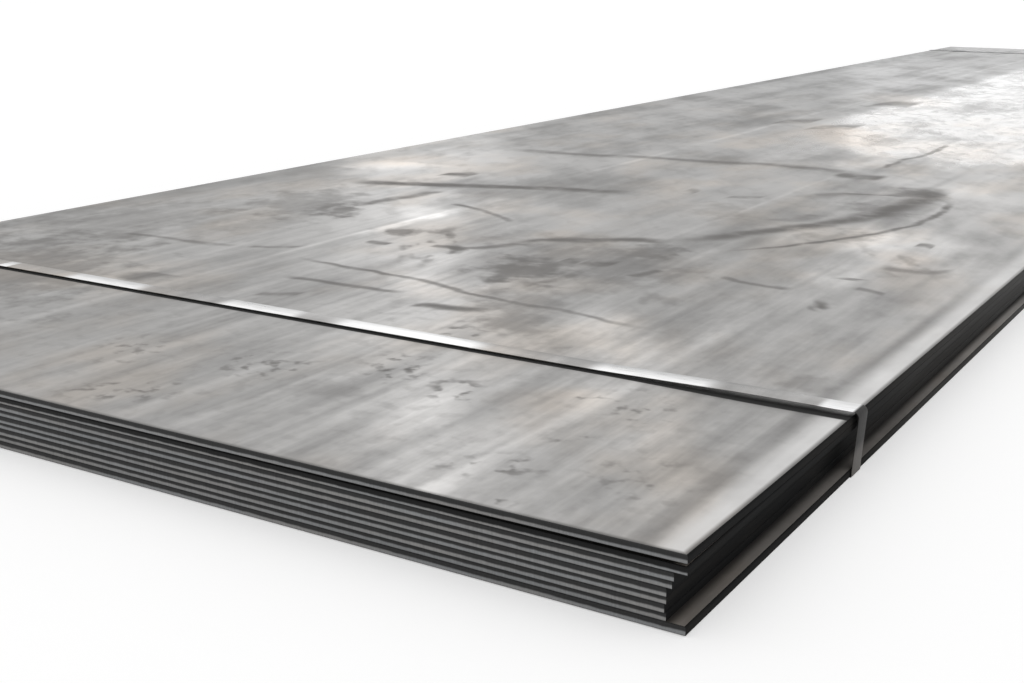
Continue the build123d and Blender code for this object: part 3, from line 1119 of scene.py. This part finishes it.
def facing_inward(band, middle):
    """1 on faces that look towards the middle of the stack."""
    place = band.out("GeometryNodeInputPosition")
    from_middle = band.out("ShaderNodeVectorMath", {"operation": "SUBTRACT"}, {0: place, 1: middle})
    sockets = {0: from_middle, 1: band.out("GeometryNodeInputNormal")}
    facing = band.out("ShaderNodeVectorMath", {"operation": "DOT_PRODUCT"}, sockets, "Value")
    return band.math("LESS_THAN", facing, 0.0)


print("band section rounded by", SECTION_ROUNDING, "of its thickness")

# %% Build the band's node tree
BEND_STEPS = 6
BAND_INPUTS = {
    "Route": "Geometry",
    "Width": "Float",
    "Thickness": "Float",
    "Stack Middle": "Vector",
    "Outside": "Material",
    "Inside": "Material",
}


def band_tree():
    """Geometry Nodes that sweep a band along a route of edges whose points carry their bend."""
    tree = bpy.data.node_groups.new("band round a stack", "GeometryNodeTree")
    ports = {}
    for name, kind in BAND_INPUTS.items():
        port = tree.interface.new_socket(name, in_out="INPUT", socket_type="NodeSocket" + kind)
        ports[name] = port.identifier
    tree.interface.new_socket("Band", in_out="OUTPUT", socket_type="NodeSocketGeometry")
    band = Sheet(tree)
    sources = band.add("NodeGroupInput").outputs
    given = {name: Value(band, sources[name]) for name in ports}
    bend = band.out("GeometryNodeInputNamedAttribute", {"data_type": "FLOAT"}, {"Name": "bend"})
    line = band.out("GeometryNodeMeshToCurve", None, {"Mesh": given["Route"]})
    path = rounded(band, line, BEND_STEPS, bend)
    section = band_section(band, given["Width"], given["Thickness"])
    sockets = {"Curve": path, "Profile Curve": section, "Fill Caps": True}
    strip = band.out("GeometryNodeCurveToMesh", None, sockets)
    strip = band.out("GeometryNodeSetMaterial", None, {"Geometry": strip, "Material": given["Outside"]})
    inward = facing_inward(band, given["Stack Middle"])
    sockets = {"Geometry": strip, "Selection": inward, "Material": given["Inside"]}
    strip = band.out("GeometryNodeSetMaterial", None, sockets)
    whole = band.out("GeometryNodeRealizeInstances", None, {"Geometry": strip})
    band.add("NodeGroupOutput", None, {"Band": whole})
    return tree, ports


band_sweep, band_ports = band_tree()
print("band tree:", len(band_sweep.nodes), "nodes")

# %% [markdown]
# ## Painted glints in dashes
# The band is cold-rolled steel, and where it tilts it mirrors the light in dashes. These dashes are painted
#  highlights, pale smooth colour on the band, and towards its front edge the band is painted paler still, as
#  shading across its width. A noise would put the dashes anywhere. So they were read off the photograph as
#  pairs of pixels along the band, and become lengths across the stack. The rear band is dull all along. What
#  hangs down the sides is painted dark as shade, and paler near the floor as painted light from it. The
#  inside of the front band shows where it stands off the plate, and is painted near black as shade.

# %% Finish the bands
# Pairs of pixels that bound the painted highlights on the front band.
GLINT_PIXELS = [
    ((0, 266), (10, 268)),
    ((62, 277), (150, 291)),
    ((219, 303), (307, 318)),
    ((326, 322), (496, 351)),
    ((586, 366), (725, 391)),
    ((818, 407), (880, 418)),
]
DASH_SOFT_SHARE = 0.16
GLINT_ENDS = 500 * MM
HANGING_SOFT = 3 * MM
BESIDE_SOFT = 2 * MM
# Heights over which the runs down the sides grow paler towards the floor, as painted light from it.
FLOOR_BOUNCE_FROM = 30 * MM
FLOOR_BOUNCE_FULL = 50 * MM


def painted_band_glints(steel):
    """1 on the painted highlights, in dashes, of the front band."""
    glints = 0.0
    for start, end in GLINT_PIXELS:
        begin, stop = on_plate(start).x, on_plate(end).x
        soft = DASH_SOFT_SHARE * (stop - begin)
        glints = glints + steel.fade(steel.x, begin, begin + soft) * steel.fade(steel.x, stop, stop - soft)
    return glints * steel.fade(steel.y, GLINT_ENDS, -GLINT_ENDS)


def band_with_glints_finish():
    """A band: painted highlights in dashes on dull steel above, and painted shade on the runs that hang down
    the sides.
    """
    steel = Finish("bright band", {"Specular IOR Level": 0.1})
    scuffs = steel.cloud(40.0, 300.0, detail=4.0, seed=2.0)
    drawn = steel.cloud(6.0, 900.0, 900.0, detail=2.0, seed=5.0)
    # Paler towards the band's front edge: painted shading across its width.
    bright = steel.mix(grey(0.72), grey(0.95), steel.fade(steel.y, front_high.y, front_low.y))
    bright = steel.multiply(bright, 1 + 0.5 * scuffs + 0.4 * drawn)
    dull, unevenness = rolled_scale(steel, FACE_LEVEL)
    below = steel.fade(steel.z, face_height, face_height - HANGING_SOFT)
    beside = steel.fade(abs(steel.x), top_high.x - BESIDE_SOFT, top_high.x + BESIDE_SOFT)
    # The runs down the sides are painted dark as shade.
    shaded_runs = steel.math("MAXIMUM", below, beside)
    lowest = steel.fade(steel.z, face_height - FLOOR_BOUNCE_FROM, face_height - FLOOR_BOUNCE_FULL)
    # Paler near the floor: painted light thrown up from it.
    hanging = steel.mix(grey(0.045, 0.02), grey(0.13, 0.06), lowest)
    colour = steel.mix(steel.mix(dull, bright, painted_band_glints(steel)), hanging, shaded_runs)
    surface = steel.relief(drawn, depth=0.1 * MM)
    rough = 0.32 + 0.25 * scuffs + 0.2 * unevenness + 0.25 * shaded_runs
    metal = 1 - shaded_runs
    return steel.paint({"Base Color": colour, "Metallic": metal, "Roughness": rough, "Normal": surface})


def shaded_band_inside_finish():
    """The inside of the front band, painted near black as shade, which the plate mirrors as a dark line."""
    steel = Finish("band inside", {"Specular IOR Level": 0.1})
    scuffs = steel.cloud(30.0, 120.0, detail=4.0, seed=7.0)
    return steel.paint({"Base Color": 0.016 + 0.02 * scuffs, "Roughness": 0.6 + 0.3 * scuffs})


band_with_glints = band_with_glints_finish()
shaded_band_inside = shaded_band_inside_finish()
print("bright band:", len(band_with_glints.node_tree.nodes), "nodes")

# %% [markdown]
# ## Wrapping the bands
# Each band starts as a chain of edges along the route, at its own place along the stack, and the node
# tree sweeps it. The modifier could stay live, but other programs read only plain meshes. So its inputs
# are set, by their identifiers, the swept mesh is copied out, and the modifier is removed.

# %% Wrap the bands round the stack
def build_band(name):
    """One band in its CAD node's place."""
    low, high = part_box(name)
    middle = (low.y + high.y) / 2
    mesh = bpy.data.meshes.new(name + "_route")
    points = [(corner.x, middle, corner.y) for corner in route]
    mesh.from_pydata(points, [(step, step + 1) for step in range(len(points) - 1)], [])
    mesh.attributes.new("bend", "FLOAT", "POINT").data.foreach_set("value", bends)
    host = bpy.data.objects.new(name + "_strip", mesh)
    bpy.context.scene.collection.objects.link(host)
    sweep = host.modifiers.new("sweep", "NODES")
    sweep.node_group = band_sweep
    sweep[band_ports["Width"]] = high.y - low.y
    sweep[band_ports["Thickness"]] = BAND_THICKNESS
    sweep[band_ports["Stack Middle"]] = (0.0, middle, face_height / 2)
    sweep[band_ports["Outside"]] = band_with_glints
    # The front band's inside is painted near black as shade.
    sweep[band_ports["Inside"]] = shaded_band_inside if name == "front_band" else band_with_glints
    swept = bpy.data.meshes.new_from_object(host.evaluated_get(bpy.context.evaluated_depsgraph_get()))
    host.modifiers.clear()
    host.data = swept
    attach(host, "root")
    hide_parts(name)
    return host


bands = [build_band(name) for name in ("front_band", "rear_band")]
print("bands:", [(band.name, len(band.data.polygons)) for band in bands])

# %% [markdown]
# ## The seals
# A seal is a folded sleeve that is notched onto the two layers of band. It is plated with zinc, which
# shows as a fine spangle with darker stains. It could be folded again from a strip, but its CAD shape is
# right. So it is copied, and its sharp corners are broken with a small bevel, which is what makes folded
# sheet catch the light.

# %% Finish the seals
def zinc_seal_finish():
    """A seal: spangled zinc with darker stains."""
    steel = Finish("zinc seal", {"Metallic": 1.0})
    spangle = steel.cloud(160.0, 160.0, 160.0, detail=3.0, seed=3.0)
    stain = steel.fade(steel.cloud(40.0, 60.0, 60.0, detail=4.0, seed=9.0), 0.02, 0.2)
    colour = steel.multiply(steel.mix(grey(0.46, -0.02), grey(0.28, 0.06), stain), 1 + 0.6 * spangle)
    surface = steel.relief(spangle, depth=0.1 * MM)
    return steel.paint({"Base Color": colour, "Roughness": 0.4 + 0.3 * spangle, "Normal": surface})


zinc_seal = zinc_seal_finish()
print("zinc seal:", len(zinc_seal.node_tree.nodes), "nodes")

# %% Copy and bevel the seals
SEAL_BEVEL = 0.3 * MM
BEVEL_STEPS = 2
FLAT_UP_TO = math.radians(1)
SHARP_FROM = math.radians(20)


def build_seal(name):
    """One seal in its CAD node's place, with its corners broken."""
    shape = bmesh.new()
    shape.from_mesh(bpy.data.objects[name].data)
    bmesh.ops.remove_doubles(shape, verts=shape.verts, dist=MERGE_DISTANCE)
    bmesh.ops.dissolve_limit(shape, angle_limit=FLAT_UP_TO, verts=shape.verts, edges=shape.edges)
    sharp = [edge for edge in shape.edges if edge.calc_face_angle(0) > SHARP_FROM]
    bmesh.ops.bevel(shape, geom=sharp, offset=SEAL_BEVEL, segments=BEVEL_STEPS, profile=0.5, affect="EDGES")
    mesh = bpy.data.meshes.new(name + "_sleeve")
    shape.to_mesh(mesh)
    shape.free()
    mesh.materials.append(zinc_seal)
    seal = bpy.data.objects.new(name + "_sleeve", mesh)
    bpy.context.scene.collection.objects.link(seal)
    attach(seal, "root")
    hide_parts(name)
    return seal


seals = [build_seal(name) for name in ("front_band_seal", "rear_band_seal")]
print("seals:", [(seal.name, len(seal.data.polygons)) for seal in seals])

# %% [markdown]
# ## Bringing the scene up to date
# A dressed model must fill the same space as the CAD model, or the part no longer fits where it is used.
# Its box could be judged by eye. Here the scene is only brought up to date.

# %% Bring the scene up to date
bpy.context.view_layer.update()
